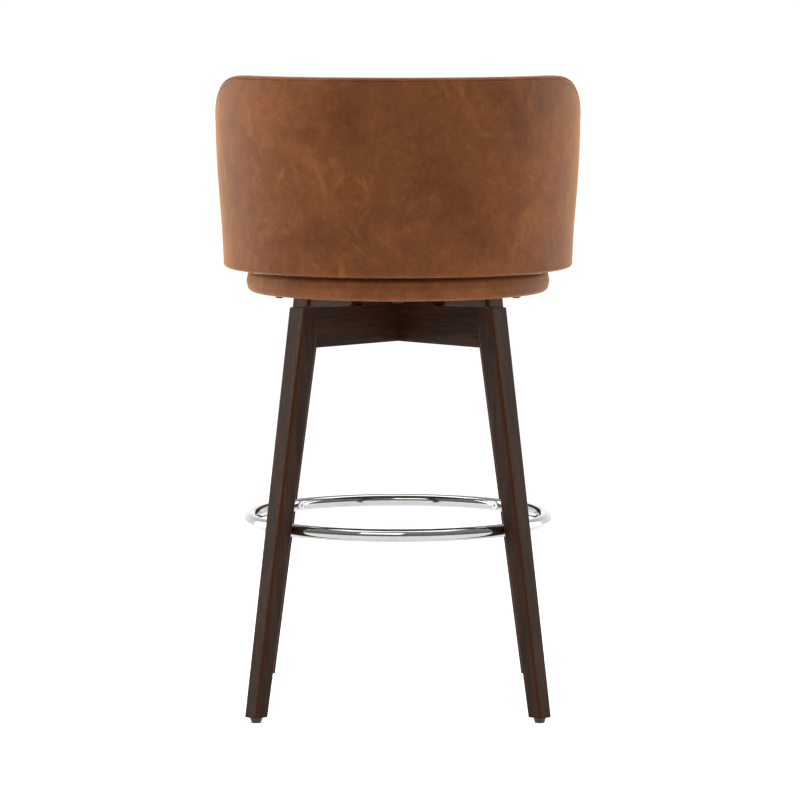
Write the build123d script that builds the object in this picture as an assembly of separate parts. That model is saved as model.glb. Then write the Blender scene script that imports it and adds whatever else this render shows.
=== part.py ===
"""Swivel bar stool with a barrel back, a round seat, a timber base and a chromed ring footrest.

Millimetres. +Z is up. The origin is on the floor, on the swivel axis. The sitter faces -Y.
"""
from build123d import *
from math import cos, radians, sin, sqrt
import os

# Heights above the floor
OVERALL_HEIGHT = 1067.0
GLIDE_HEIGHT = 9.2
RAIL_TOP = 682.0
LEG_RISE = 1.8                  # the legs' ends stand this far above the rails
FOOTREST_HEIGHT = 314.0

# Legs: square section, turned 45 degrees in plan, tapering to the floor
LEG_SPREAD_BOTTOM = 234.9       # from the swivel axis to the leg's centre, along X and along Y
LEG_SPREAD_TOP = 154.2
LEG_SIDE_BOTTOM = 28.6
LEG_SIDE_TOP = 38.4
LEG_EDGE_RADIUS = 4.0
GLIDE_RADIUS = 11.0
GLIDE_FOOT_RADIUS = 8.0
NAIL_RADIUS = 2.0
NAIL_LENGTH = 24.0
NAIL_HEAD_RADIUS = 4.0
NAIL_HEAD_HEIGHT = 1.5
NAIL_COVER = 2.5                # of the glide above the nail's head

# Cross rails on the two diagonals, half-lapped at the centre
RAIL_THICKNESS = 29.0
RAIL_DEPTH = 65.5
RAIL_EDGE_RADIUS = 1.5
BLOCK_RISE = 8.0                # the raised middle of the rails, which carries the swivel
BLOCK_HALF_LENGTH = 95.5
BLOCK_FOOT_RADIUS = 6.5
TENON_THICKNESS = 12.0
TENON_DEPTH = 44.0
TENON_LENGTH = 18.0
LAP_CLEARANCE = 0.1

# Footrest ring and its fixings
RING_TUBE_RADIUS = 11.0
RING_STANDOFF = 2.7             # between the tube and the legs' inner faces
RING_WALL = 1.6
RING_BOLT_RADIUS = 3.0
RING_BOLT_HEAD_RADIUS = 7.5
RING_BOLT_HEAD_HEIGHT = 2.6
RING_BOLT_HEAD_GAP = 0.2
RING_BOLT_RUN_OUT = 1.0         # the bolt's end beyond its insert
RING_BOLT_HEAD_ROUND = 1.0
RING_SOCKET_RADIUS = 2.3
RING_SOCKET_DEPTH = 1.8
SADDLE_RADIUS = 8.0
INSERT_RADIUS = 5.0
INSERT_LENGTH = 17.0
INSERT_SETBACK = 3.0

# Swivel: two pressed plates with four arms, a ball race between them and a pivot
ARM_WIDTH = 27.0
ARM_SHEET = 2.5
LOWER_ARM_REACH = 92.0
UPPER_ARM_REACH = 110.0
SWIVEL_HEIGHT = 10.5
HUB_RADIUS = 31.0
HUB_DROP = 8.7                  # the hub's bottom below the raised middle of the rails
RACE_RADIUS = 42.0
RACE_HALF_WIDTH = 8.0
RACE_GAP = 3.4
HUB_WALL = 3.0
BALL_RADIUS = 3.175
BALL_COUNT = 24
BALL_CLEARANCE = 0.04
CAGE_THICKNESS = 1.2
CAGE_HALF_WIDTH = 6.0
PIVOT_RADIUS = 8.0
PIVOT_CLEARANCE = 0.05
PIVOT_HEAD_RADIUS = 14.0
PIVOT_HEAD_HEIGHT = 2.5
PIVOT_HEAD_GAP = 0.3
POCKET_CLEARANCE = 1.5
PLATE_SCREW_STATIONS = (58.0, 76.0)
PLATE_SCREW_RADIUS = 2.25
PLATE_SCREW_LENGTH = 28.0
UPPER_BOLT_STATION = 90.0
UPPER_BOLT_RADIUS = 3.0
UPPER_BOLT_HEAD_HEIGHT = 3.0
TEE_NUT_FLANGE_RADIUS = 9.5
TEE_NUT_FLANGE = 1.5
TEE_NUT_BARREL_RADIUS = 4.2
TEE_NUT_BARREL = 9.0

# Seat board and pads
BOARD_RADIUS = 236.0
BOARD_THICKNESS = 18.0
DUST_COVER_THICKNESS = 0.8
DUST_COVER_HOLE_RADIUS = 118.0
DUST_COVER_MARGIN = 6.0
PAD_WALL = 20.2                 # of padding round the board's edge
PAD_FRONT_EXTRA = 8.8
PAD_HEIGHT = 36.0
PAD_BOTTOM_ROUND = 10.0
PAD_TOP_ROUND = 9.0
CUSHION_GAP = 0.4
CUSHION_SIDE_GAP = 5.5          # between the cushion and the inside of the back
CUSHION_SETBACK = 2.5           # of the cushion's centre behind the back's axis
CUSHION_EDGE_HEIGHT = 28.0
CUSHION_CROWN = 9.0
CROWN_AT_HALF = 0.75            # of the crown's rise left at half the radius
CUSHION_TOP_ROUND = 11.0
CUSHION_BOTTOM_ROUND = 5.0

# Barrel back: turned about its own upright axis, a little in front of the swivel axis
SHELL_CENTRE_Y = -25.0
SHELL_GAP = 3.5                 # between the seat's rim and the back's lower edge
SHELL_HALF_ARC = 125.0          # degrees from the back's centre line; the front sweep trims it
SHELL_OUTSET = 18.0             # from the board's radius to the back's inner face, at the bottom
SHELL_INNER_LEAN = 9.0
SHELL_THICKNESS_BOTTOM = 42.0
SHELL_THICKNESS_WAIST = 48.0
SHELL_THICKNESS_WIDEST = 54.4
SHELL_THICKNESS_TOP = 51.0
SHELL_WIDEST_DROP = 102.0       # from the top edge down to the widest section
SHELL_EDGE_ROUND = 8.0
SWEEP_START_Y = 115.0           # where the level top edge starts to sweep down to the front
SWEEP_LENGTH = 255.0
SWEEP_LOW = 48.0                # the sweep's lowest point would be this far below the back's edge
PANEL_INSET = 5.0               # from the back's edge to the seam of the outer panel
FRAME_INSET = 14.0              # from the back's edge to the edge of the bent plywood
FRAME_THICKNESS = 10.0
FRAME_LEAN = 20.0
FRAME_LIFT = 12.0
INNER_PADDING = 8.0             # in front of the plywood, at its lower edge

# Steel brackets that carry the back on the seat board
BRACKET_SHEET = 3.0
BRACKET_FOOT = 56.0             # of the leg that lies on the board
BRACKET_RISE = 60.0             # of the upright leg above the back's lower edge
SIDE_BRACKET_ARC = (46.0, 68.0)
REAR_BRACKET_ARC = (-11.0, 11.0)
BRACKET_BOLT_SETBACK = 42.3     # of the bolt, inward from the plywood
BRACKET_BOLT_ANGLE = 65.0
BRACKET_BOLT_RADIUS = 4.0
BRACKET_BOLT_HEAD_RADIUS = 6.6
BRACKET_BOLT_HEAD = 5.4
BRACKET_WASHER_RADIUS = 8.4
BRACKET_WASHER = 1.2
BRACKET_NUT = 6.5
WOOD_SCREW_RADIUS = 2.2
WOOD_SCREW_HEAD_RADIUS = 4.4
WOOD_SCREW_HEAD = 2.0
WOOD_SCREW_LENGTH = 14.0
FRAME_SCREW_LENGTH = 8.0
FRAME_SCREW_SINK = 0.1          # of its head into the curved bracket
BRACKET_SCREW_SETBACK = 23.0
FRAME_SCREW_RISES = (25.0, 48.0)

# Construction
OVERCUT = 1.0                   # of a cutting solid beyond the faces that it cuts
ROOT = 0.5                      # of a shank inside its own head

# Heights that follow from the values above
LEG_TOP = RAIL_TOP + LEG_RISE
RAIL_BOTTOM = RAIL_TOP - RAIL_DEPTH
RAIL_MIDDLE = RAIL_TOP - RAIL_DEPTH / 2
BLOCK_TOP = RAIL_TOP + BLOCK_RISE
BOARD_BOTTOM = BLOCK_TOP + SWIVEL_HEIGHT
BOARD_TOP = BOARD_BOTTOM + BOARD_THICKNESS
PAD_TOP = BOARD_BOTTOM + PAD_HEIGHT
UPPER_PLATE_BOTTOM = BOARD_BOTTOM - ARM_SHEET
LOWER_PLATE_TOP = BLOCK_TOP + ARM_SHEET
BALL_HEIGHT = (LOWER_PLATE_TOP + UPPER_PLATE_BOTTOM) / 2
HUB_BOTTOM = BLOCK_TOP - HUB_DROP
SHELL_BOTTOM = PAD_TOP + SHELL_GAP
FRAME_BOTTOM = SHELL_BOTTOM + FRAME_LIFT
FRAME_TOP = OVERALL_HEIGHT - FRAME_INSET
BRACKET_TOP = SHELL_BOTTOM + BRACKET_RISE
SWEEP_BASE = SHELL_BOTTOM - SWEEP_LOW

# Radii that follow from the values above
PAD_RADIUS = BOARD_RADIUS + PAD_WALL
SHELL_INNER_BOTTOM = BOARD_RADIUS + SHELL_OUTSET
SHELL_INNER_TOP = SHELL_INNER_BOTTOM + SHELL_INNER_LEAN
SHELL_WIDEST = SHELL_INNER_BOTTOM + SHELL_THICKNESS_WIDEST
FRAME_INNER = SHELL_INNER_BOTTOM + INNER_PADDING
CUSHION_RADIUS = SHELL_INNER_BOTTOM - CUSHION_SIDE_GAP
DIAGONALS = (45, 135, 225, 315)
LEG_NAMES = {45: "rear_right", 135: "rear_left", 225: "front_left", 315: "front_right"}

nodes = {}


def disc(radius, bottom, top, x=0.0, y=0.0):
    """An upright cylinder between two heights."""
    return Pos(x, y, (bottom + top) / 2) * Cylinder(radius, top - bottom)


def tube(outer, inner, bottom, top, x=0.0, y=0.0):
    """An upright cylinder with a concentric hole."""
    return disc(outer, bottom, top, x, y) - disc(inner, bottom - OVERCUT, top + OVERCUT, x, y)


def radial_rod(radius, start, end, height):
    """A level cylinder lying along +X, between two distances from the swivel axis."""
    return Pos((start + end) / 2, 0, height) * Rot(0, 90, 0) * Cylinder(radius, end - start)


def turned(shape, angle):
    """The shape turned about the swivel axis."""
    return Rot(0, 0, angle) * shape


def diagonal_point(distance, angle):
    """The point at a distance from the swivel axis, in a direction."""
    return distance * cos(radians(angle)), distance * sin(radians(angle))


def at_shell(radius, angle):
    """The point at a radius of the barrel back, counted from its rear centre line."""
    return radius * sin(radians(angle)), SHELL_CENTRE_Y + radius * cos(radians(angle))


def group(shapes):
    """Separate solids that share one node."""
    return Compound(children=[solid for shape in shapes for solid in shape.solids()])


# --- Base -------------------------------------------------------------------------------------

def leg_axis_distance(height):
    """From the swivel axis to a leg's centre line, along the diagonal."""
    share = (height - GLIDE_HEIGHT) / (LEG_TOP - GLIDE_HEIGHT)
    return sqrt(2) * (LEG_SPREAD_BOTTOM + (LEG_SPREAD_TOP - LEG_SPREAD_BOTTOM) * share)


def leg_face_distance(height):
    """From the swivel axis to a leg's inner face, along the diagonal."""
    share = (height - GLIDE_HEIGHT) / (LEG_TOP - GLIDE_HEIGHT)
    side = LEG_SIDE_BOTTOM + (LEG_SIDE_TOP - LEG_SIDE_BOTTOM) * share
    return leg_axis_distance(height) - side / 2


def plain_leg():
    """One leg on the +X diagonal, before its mortise and holes."""
    sections = []
    for height, side in ((GLIDE_HEIGHT, LEG_SIDE_BOTTOM), (LEG_TOP, LEG_SIDE_TOP)):
        section = RectangleRounded(side, side, LEG_EDGE_RADIUS)
        sections.append(Pos(leg_axis_distance(height), 0, height) * section)
    return loft(sections, ruled=True)


def tenon():
    """The stub tenon of a rail, reaching into the leg on the +X diagonal."""
    face = leg_face_distance(RAIL_MIDDLE)
    start = face - RAIL_THICKNESS
    length = face + TENON_LENGTH - start
    return Pos(start + length / 2, 0, RAIL_MIDDLE) * Box(length, TENON_THICKNESS, TENON_DEPTH)


def rail_blank():
    """A rail along X before its joints: a deep bar with a raised middle."""
    reach = leg_axis_distance(RAIL_BOTTOM)
    bar = Pos(0, 0, RAIL_MIDDLE) * Box(2 * reach, RAIL_THICKNESS, RAIL_DEPTH)
    bar = fillet(bar.edges().filter_by(Axis.X), RAIL_EDGE_RADIUS)
    root = 2 * RAIL_EDGE_RADIUS
    foot_length = 2 * (BLOCK_HALF_LENGTH + 2 * BLOCK_FOOT_RADIUS)
    side = Pos(0, (BLOCK_TOP + RAIL_TOP - root) / 2) * Rectangle(2 * BLOCK_HALF_LENGTH, BLOCK_RISE + root)
    side = side + Pos(0, RAIL_TOP - root / 2) * Rectangle(foot_length, root)
    walls = side.vertices().filter_by(lambda corner: abs(abs(corner.X) - BLOCK_HALF_LENGTH) < ROOT)
    side = fillet(walls.group_by(Axis.Y)[0], BLOCK_FOOT_RADIUS)
    return bar + extrude(Plane.XZ * side, RAIL_THICKNESS / 2, both=True)


def rail_pair():
    """The two crossed rails, the first along X = Y and the second along X = -Y."""
    leg = plain_leg()
    blank = rail_blank()
    bar = blank - leg - turned(leg, 180)
    bar = bar.solids().sort_by(SortBy.VOLUME)[-1]
    bar = bar + tenon() + turned(tenon(), 180)
    hub_seat = disc(HUB_RADIUS + POCKET_CLEARANCE, HUB_BOTTOM - PIVOT_HEAD_GAP, BOARD_BOTTOM)
    head_depth = PIVOT_HEAD_HEIGHT + PIVOT_HEAD_GAP + POCKET_CLEARANCE
    head_pocket = disc(PIVOT_HEAD_RADIUS + POCKET_CLEARANCE, HUB_BOTTOM - head_depth, BOARD_BOTTOM)
    slot = RAIL_THICKNESS + 2 * LAP_CLEARANCE
    upper_notch = Pos(0, 0, RAIL_TOP) * Box(slot, 2 * slot, RAIL_DEPTH + LAP_CLEARANCE)
    lower_notch = Pos(0, 0, RAIL_BOTTOM) * Box(slot, 2 * slot, RAIL_DEPTH + LAP_CLEARANCE)
    rails = []
    for notch, angle in ((upper_notch, 45), (lower_notch, 135)):
        rail = turned(bar - notch, angle) - hub_seat - head_pocket
        for screw in plate_screws():
            rail = rail - screw
        rails.append(rail)
    return rails


def glide():
    """A black foot glide under the leg on the +X diagonal, with its nail hole."""
    distance = leg_axis_distance(GLIDE_HEIGHT)
    body = Pos(distance, 0, 0) * Cone(
        GLIDE_FOOT_RADIUS, GLIDE_RADIUS, GLIDE_HEIGHT, align=(Align.CENTER, Align.CENTER, Align.MIN)
    )
    return body - glide_nail()


def glide_nail():
    """The nail that holds a glide, from inside the glide up into the leg."""
    distance = leg_axis_distance(GLIDE_HEIGHT)
    head_top = GLIDE_HEIGHT - NAIL_COVER
    head = disc(NAIL_HEAD_RADIUS, head_top - NAIL_HEAD_HEIGHT, head_top, distance)
    return head + disc(NAIL_RADIUS, head_top - ROOT, GLIDE_HEIGHT + NAIL_LENGTH, distance)


def ring_radius():
    """The radius of the tube's centre line, set by where the legs' inner faces are."""
    return leg_face_distance(FOOTREST_HEIGHT) - RING_STANDOFF - RING_TUBE_RADIUS


def insert_start():
    """From the swivel axis to the near end of a ring bolt's insert."""
    return leg_face_distance(FOOTREST_HEIGHT) + INSERT_SETBACK


def ring_bolt():
    """A flat-headed bolt through the ring into the leg on the +X diagonal."""
    seat = ring_radius() - RING_TUBE_RADIUS - RING_BOLT_HEAD_GAP
    end = insert_start() + INSERT_LENGTH + RING_BOLT_RUN_OUT
    head = radial_rod(RING_BOLT_HEAD_RADIUS, seat - RING_BOLT_HEAD_HEIGHT, seat, FOOTREST_HEIGHT)
    head = fillet(head.edges().sort_by(Axis.X)[0], RING_BOLT_HEAD_ROUND)
    shank = radial_rod(RING_BOLT_RADIUS, seat - ROOT, end, FOOTREST_HEIGHT)
    socket = Pos(seat - RING_BOLT_HEAD_HEIGHT, 0, FOOTREST_HEIGHT) * Rot(0, 90, 0) * extrude(
        RegularPolygon(RING_SOCKET_RADIUS, 6), RING_SOCKET_DEPTH
    )
    return head + shank - socket


def ring_insert():
    """The threaded brass insert for a ring bolt."""
    start = insert_start()
    body = radial_rod(INSERT_RADIUS, start, start + INSERT_LENGTH, FOOTREST_HEIGHT)
    return body - ring_bolt()


def ring_saddle(leg):
    """The spacer between the ring and the leg, hollowed to sit on the tube."""
    block = radial_rod(SADDLE_RADIUS, ring_radius(), leg_axis_distance(FOOTREST_HEIGHT), FOOTREST_HEIGHT)
    block = block - Pos(0, 0, FOOTREST_HEIGHT) * Torus(ring_radius(), RING_TUBE_RADIUS) - leg
    block = block - ring_bolt()
    return block.solids().sort_by(Axis.X)[-1]


def footrest_ring():
    """The bent tube in two welded halves, with a bolt hole through it at each leg."""
    section = Circle(RING_TUBE_RADIUS) - Circle(RING_TUBE_RADIUS - RING_WALL)
    half = revolve(Plane.XZ * Pos(ring_radius(), FOOTREST_HEIGHT) * section, Axis.Z, 180)
    start = ring_radius() - 2 * RING_TUBE_RADIUS
    bolt_hole = radial_rod(RING_BOLT_RADIUS, start, ring_radius() + 2 * RING_TUBE_RADIUS, FOOTREST_HEIGHT)
    for angle in DIAGONALS[:2]:
        half = half - turned(bolt_hole, angle)
    return half + turned(half, 180)


def build_base():
    """Legs, rails, glides and the footrest."""
    leg = plain_leg()
    rail_a, rail_b = rail_pair()
    saddle = ring_saddle(leg)
    bored = leg - tenon() - glide_nail() - ring_insert() - ring_bolt()
    for angle, name in LEG_NAMES.items():
        nodes["leg_" + name] = turned(bored, angle)
        nodes["glide_" + name] = turned(glide(), angle)
    nodes["cross_rail_a"] = rail_a
    nodes["cross_rail_b"] = rail_b
    nodes["glide_nails"] = group(turned(glide_nail(), angle) for angle in DIAGONALS)
    nodes["footrest_ring"] = footrest_ring()
    nodes["footrest_bolts"] = group(turned(ring_bolt(), angle) for angle in DIAGONALS)
    nodes["footrest_inserts"] = group(turned(ring_insert(), angle) for angle in DIAGONALS)
    nodes["footrest_saddles"] = group(turned(saddle, angle) for angle in DIAGONALS)


# --- Swivel -----------------------------------------------------------------------------------

def plate_screws():
    """The countersunk wood screws that hold the lower swivel plate to the rails."""
    screws = []
    for angle in DIAGONALS:
        for station in PLATE_SCREW_STATIONS:
            x, y = diagonal_point(station, angle)
            shank = disc(PLATE_SCREW_RADIUS, LOWER_PLATE_TOP - PLATE_SCREW_LENGTH, LOWER_PLATE_TOP, x, y)
            head = Cone(PLATE_SCREW_RADIUS, 2 * PLATE_SCREW_RADIUS, PLATE_SCREW_RADIUS)
            screws.append(shank + Pos(x, y, LOWER_PLATE_TOP - PLATE_SCREW_RADIUS / 2) * head)
    return screws


def race_groove():
    """The ring swept by the balls, a little larger than they are."""
    return Pos(0, 0, BALL_HEIGHT) * Torus(RACE_RADIUS, BALL_RADIUS + BALL_CLEARANCE)


def plate_arm(reach, bottom, top):
    """One flat arm with a round end, along +X."""
    straight = reach - ARM_WIDTH / 2
    bar = Pos(straight / 2, 0, (bottom + top) / 2) * Box(straight, ARM_WIDTH, top - bottom)
    return bar + disc(ARM_WIDTH / 2, bottom, top, straight)


def lower_plate():
    """The plate on the rails: four flat arms, a drawn cup at the centre and the lower race."""
    race_top = BALL_HEIGHT - RACE_GAP / 2
    plate = disc(RACE_RADIUS + RACE_HALF_WIDTH, BLOCK_TOP, LOWER_PLATE_TOP) + disc(
        HUB_RADIUS, HUB_BOTTOM, LOWER_PLATE_TOP
    )
    for angle in DIAGONALS:
        plate = plate + turned(plate_arm(LOWER_ARM_REACH, BLOCK_TOP, LOWER_PLATE_TOP), angle)
    race = tube(RACE_RADIUS + RACE_HALF_WIDTH, RACE_RADIUS - RACE_HALF_WIDTH, BLOCK_TOP, race_top)
    plate = plate + race - race_groove()
    plate = plate - disc(HUB_RADIUS - HUB_WALL, HUB_BOTTOM + ARM_SHEET, BOARD_BOTTOM)
    plate = plate - disc(PIVOT_RADIUS + PIVOT_CLEARANCE, HUB_BOTTOM - OVERCUT, BOARD_BOTTOM)
    for screw in plate_screws():
        plate = plate - screw
    return plate


def upper_bolt(angle):
    """One bolt of the upper plate, from below into its tee nut."""
    x, y = diagonal_point(UPPER_BOLT_STATION, angle)
    head = disc(2 * UPPER_BOLT_RADIUS, UPPER_PLATE_BOTTOM - UPPER_BOLT_HEAD_HEIGHT, UPPER_PLATE_BOTTOM, x, y)
    return head + disc(UPPER_BOLT_RADIUS, UPPER_PLATE_BOTTOM - ROOT, BOARD_TOP, x, y)


def tee_nut(angle):
    """The tee nut above the board for one bolt of the upper plate."""
    x, y = diagonal_point(UPPER_BOLT_STATION, angle)
    flange = disc(TEE_NUT_FLANGE_RADIUS, BOARD_TOP, BOARD_TOP + TEE_NUT_FLANGE, x, y)
    barrel = disc(TEE_NUT_BARREL_RADIUS, BOARD_TOP - TEE_NUT_BARREL, BOARD_TOP, x, y)
    return flange + barrel - disc(UPPER_BOLT_RADIUS, BOARD_BOTTOM, BOARD_TOP + 2 * TEE_NUT_FLANGE, x, y)


def upper_plate():
    """The plate under the seat board: four flat arms and the upper race."""
    plate = disc(RACE_RADIUS + RACE_HALF_WIDTH, UPPER_PLATE_BOTTOM, BOARD_BOTTOM)
    for angle in DIAGONALS:
        plate = plate + turned(plate_arm(UPPER_ARM_REACH, UPPER_PLATE_BOTTOM, BOARD_BOTTOM), angle)
    race_bottom = BALL_HEIGHT + RACE_GAP / 2
    race = tube(
        RACE_RADIUS + RACE_HALF_WIDTH, RACE_RADIUS - RACE_HALF_WIDTH, race_bottom, UPPER_PLATE_BOTTOM + ROOT
    )
    plate = plate + race - race_groove() - pivot()
    for angle in DIAGONALS:
        plate = plate - upper_bolt(angle)
    return plate


def pivot():
    """The headed pivot, riveted to the upper plate and turning in the lower one."""
    head_top = HUB_BOTTOM - PIVOT_HEAD_GAP
    head = disc(PIVOT_HEAD_RADIUS, head_top - PIVOT_HEAD_HEIGHT, head_top)
    return head + disc(PIVOT_RADIUS, head_top - ROOT, BOARD_BOTTOM)


def ball(angle):
    """One bearing ball in the race."""
    x, y = diagonal_point(RACE_RADIUS, angle)
    return Pos(x, y, BALL_HEIGHT) * Sphere(BALL_RADIUS)


def ball_cage():
    """The flat ring that keeps the balls apart."""
    low = BALL_HEIGHT - CAGE_THICKNESS / 2
    cage = tube(RACE_RADIUS + CAGE_HALF_WIDTH, RACE_RADIUS - CAGE_HALF_WIDTH, low, low + CAGE_THICKNESS)
    for index in range(BALL_COUNT):
        x, y = diagonal_point(RACE_RADIUS, index * 360 / BALL_COUNT)
        cage = cage - disc(BALL_RADIUS + BALL_CLEARANCE, low - OVERCUT, low + CAGE_THICKNESS + OVERCUT, x, y)
    return cage


def build_swivel():
    """The swivel's plates, bearing, pivot and fasteners."""
    nodes["lower_swivel_plate"] = lower_plate()
    nodes["lower_plate_screws"] = group(plate_screws())
    nodes["upper_swivel_plate"] = upper_plate()
    nodes["upper_plate_bolts"] = group(upper_bolt(angle) for angle in DIAGONALS)
    nodes["seat_tee_nuts"] = group(tee_nut(angle) for angle in DIAGONALS)
    nodes["swivel_pivot"] = pivot()
    nodes["ball_cage"] = ball_cage()
    nodes["swivel_balls"] = group(ball(index * 360 / BALL_COUNT) for index in range(BALL_COUNT))


# --- Barrel back ------------------------------------------------------------------------------

def barrel(outline, arc):
    """An outline in radius and height, turned about the back's axis between two angles."""
    start, end = arc
    solid = revolve(Plane.XZ * outline, Axis.Z, end - start)
    return Pos(0, SHELL_CENTRE_Y, 0) * Rot(0, 0, 90 - end) * solid


def shell_outline():
    """The section of the whole padded back."""
    top = OVERALL_HEIGHT
    outer = outer_face()
    low_end = (outer @ 0).X - SHELL_EDGE_ROUND
    high_end = (outer @ 1).X - SHELL_EDGE_ROUND
    lines = [
        Line((SHELL_INNER_BOTTOM, SHELL_BOTTOM), (low_end, SHELL_BOTTOM)),
        Line((high_end, top), (SHELL_INNER_TOP, top)),
        Line((SHELL_INNER_TOP, top), (SHELL_INNER_BOTTOM, SHELL_BOTTOM)),
    ]
    low_corner = RadiusArc(lines[0] @ 1, outer @ 0, -SHELL_EDGE_ROUND)
    high_corner = RadiusArc(outer @ 1, lines[1] @ 0, -SHELL_EDGE_ROUND)
    return make_face([lines[0], low_corner, outer, high_corner, lines[1], lines[2]])


def outer_face():
    """The outer face of the back in section, leaning out and then turning in at the top."""
    widest_height = OVERALL_HEIGHT - SHELL_WIDEST_DROP
    return Spline(
        (SHELL_INNER_BOTTOM + SHELL_THICKNESS_BOTTOM, SHELL_BOTTOM + SHELL_EDGE_ROUND),
        (SHELL_INNER_BOTTOM + SHELL_THICKNESS_WAIST, (SHELL_BOTTOM + widest_height) / 2),
        (SHELL_WIDEST, widest_height),
        (SHELL_INNER_BOTTOM + SHELL_THICKNESS_TOP, OVERALL_HEIGHT - SHELL_EDGE_ROUND),
    )


def frame_radius(height):
    """The radius of the plywood's inner face at a height."""
    return FRAME_INNER + FRAME_LEAN * (height - FRAME_BOTTOM) / (FRAME_TOP - FRAME_BOTTOM)


def sweep_profile(inset):
    """The back seen from the side: level at the top, then a quarter ellipse down to the front."""
    length = SWEEP_LENGTH - inset
    height = OVERALL_HEIGHT - SWEEP_BASE - inset
    front_curve = EllipticalCenterArc(
        (SWEEP_START_Y, SWEEP_BASE), length, height, start_angle=90, arc_size=90
    )
    corners = Polyline(
        front_curve @ 1,
        (SHELL_WIDEST, SWEEP_BASE),
        (SHELL_WIDEST, SWEEP_BASE + height),
        front_curve @ 0,
    )
    side = make_face([front_curve, corners])
    return extrude(Plane.YZ * side, SHELL_WIDEST + OVERCUT, both=True)


def back_frame():
    """The bent plywood inside the back."""
    low = FRAME_BOTTOM
    high = OVERALL_HEIGHT
    outline = make_face(Polyline(
        (frame_radius(low), low),
        (frame_radius(low) + FRAME_THICKNESS, low),
        (frame_radius(high) + FRAME_THICKNESS, high),
        (frame_radius(high), high),
        close=True,
    ))
    return barrel(outline, (-SHELL_HALF_ARC, SHELL_HALF_ARC)) & sweep_profile(FRAME_INSET)


def outer_panel(shell):
    """The padded leather panel on the outside of the back."""
    low = SHELL_BOTTOM - OVERCUT
    high = OVERALL_HEIGHT + OVERCUT
    far = SHELL_WIDEST + OVERCUT
    outline = make_face(Polyline(
        (frame_radius(low) + FRAME_THICKNESS, low),
        (far, low),
        (far, high),
        (frame_radius(high) + FRAME_THICKNESS, high),
        close=True,
    ))
    band = barrel(outline, (-SHELL_HALF_ARC, SHELL_HALF_ARC))
    return (shell & band) & sweep_profile(PANEL_INSET)


def bracket(arc):
    """An angle bracket: one leg on the seat board, the other up the plywood's inner face."""
    low = BOARD_TOP
    foot_end = FRAME_INNER - BRACKET_FOOT
    outline = make_face(Polyline(
        (foot_end, low),
        (frame_radius(low), low),
        (frame_radius(BRACKET_TOP), BRACKET_TOP),
        (frame_radius(BRACKET_TOP) - BRACKET_SHEET, BRACKET_TOP),
        (frame_radius(low + BRACKET_SHEET) - BRACKET_SHEET, low + BRACKET_SHEET),
        (foot_end, low + BRACKET_SHEET),
        close=True,
    ))
    return barrel(outline, arc)


def bracket_angles(arc):
    """Two stations across a bracket, a quarter and three quarters along it."""
    start, end = arc
    return start + (end - start) / 4, end - (end - start) / 4


def bracket_wood_screws(arc):
    """The short screws that fix a bracket to the seat board."""
    top = BOARD_TOP + BRACKET_SHEET
    screws = []
    for angle in bracket_angles(arc):
        x, y = at_shell(FRAME_INNER - BRACKET_SCREW_SETBACK, angle)
        head = disc(WOOD_SCREW_HEAD_RADIUS, top, top + WOOD_SCREW_HEAD, x, y)
        screws.append(head + disc(WOOD_SCREW_RADIUS, top - WOOD_SCREW_LENGTH, top + ROOT, x, y))
    return screws


def frame_screws(arc):
    """The short screws that fix the plywood to a bracket."""
    screws = []
    for angle in bracket_angles(arc):
        for rise in FRAME_SCREW_RISES:
            height = SHELL_BOTTOM + rise
            face = frame_radius(height) - BRACKET_SHEET
            head = radial_rod(WOOD_SCREW_HEAD_RADIUS, face - WOOD_SCREW_HEAD, face + FRAME_SCREW_SINK, height)
            shank = radial_rod(WOOD_SCREW_RADIUS, face - ROOT, face + FRAME_SCREW_LENGTH, height)
            screws.append(Pos(0, SHELL_CENTRE_Y, 0) * Rot(0, 0, 90 - angle) * (head + shank))
    return screws


def bracket_bolt(side):
    """The hex bolt, washer and nut that hold a side bracket, with the head under the board."""
    x, y = at_shell(FRAME_INNER - BRACKET_BOLT_SETBACK, side * BRACKET_BOLT_ANGLE)
    under = BOARD_BOTTOM - DUST_COVER_THICKNESS
    washer = disc(BRACKET_WASHER_RADIUS, under - BRACKET_WASHER, under, x, y)
    head_top = under - BRACKET_WASHER
    head = Pos(x, y, head_top - BRACKET_BOLT_HEAD) * extrude(
        RegularPolygon(BRACKET_BOLT_HEAD_RADIUS, 6), BRACKET_BOLT_HEAD
    )
    nut_bottom = BOARD_TOP + BRACKET_SHEET
    shank = disc(BRACKET_BOLT_RADIUS, head_top - ROOT, nut_bottom + BRACKET_NUT, x, y)
    nut = Pos(x, y, nut_bottom) * extrude(RegularPolygon(BRACKET_BOLT_HEAD_RADIUS, 6), BRACKET_NUT)
    return washer + head + shank + nut


# --- Seat -------------------------------------------------------------------------------------

def pad_blank():
    """The padded rim of the seat: round at the back, a little longer at the front."""
    front_reach = PAD_RADIUS + PAD_FRONT_EXTRA
    half_plane = Rectangle(3 * PAD_RADIUS, 2 * front_reach)
    front_half = Ellipse(PAD_RADIUS, front_reach) & Pos(0, -front_reach) * half_plane
    rear_half = Circle(PAD_RADIUS) & Pos(0, front_reach) * half_plane
    pad = Pos(0, 0, BOARD_BOTTOM) * extrude(front_half + rear_half, PAD_HEIGHT)
    pad = fillet(pad.edges().group_by(Axis.Z)[0], PAD_BOTTOM_ROUND)
    return fillet(pad.edges().group_by(Axis.Z)[-1], PAD_TOP_ROUND)


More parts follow.
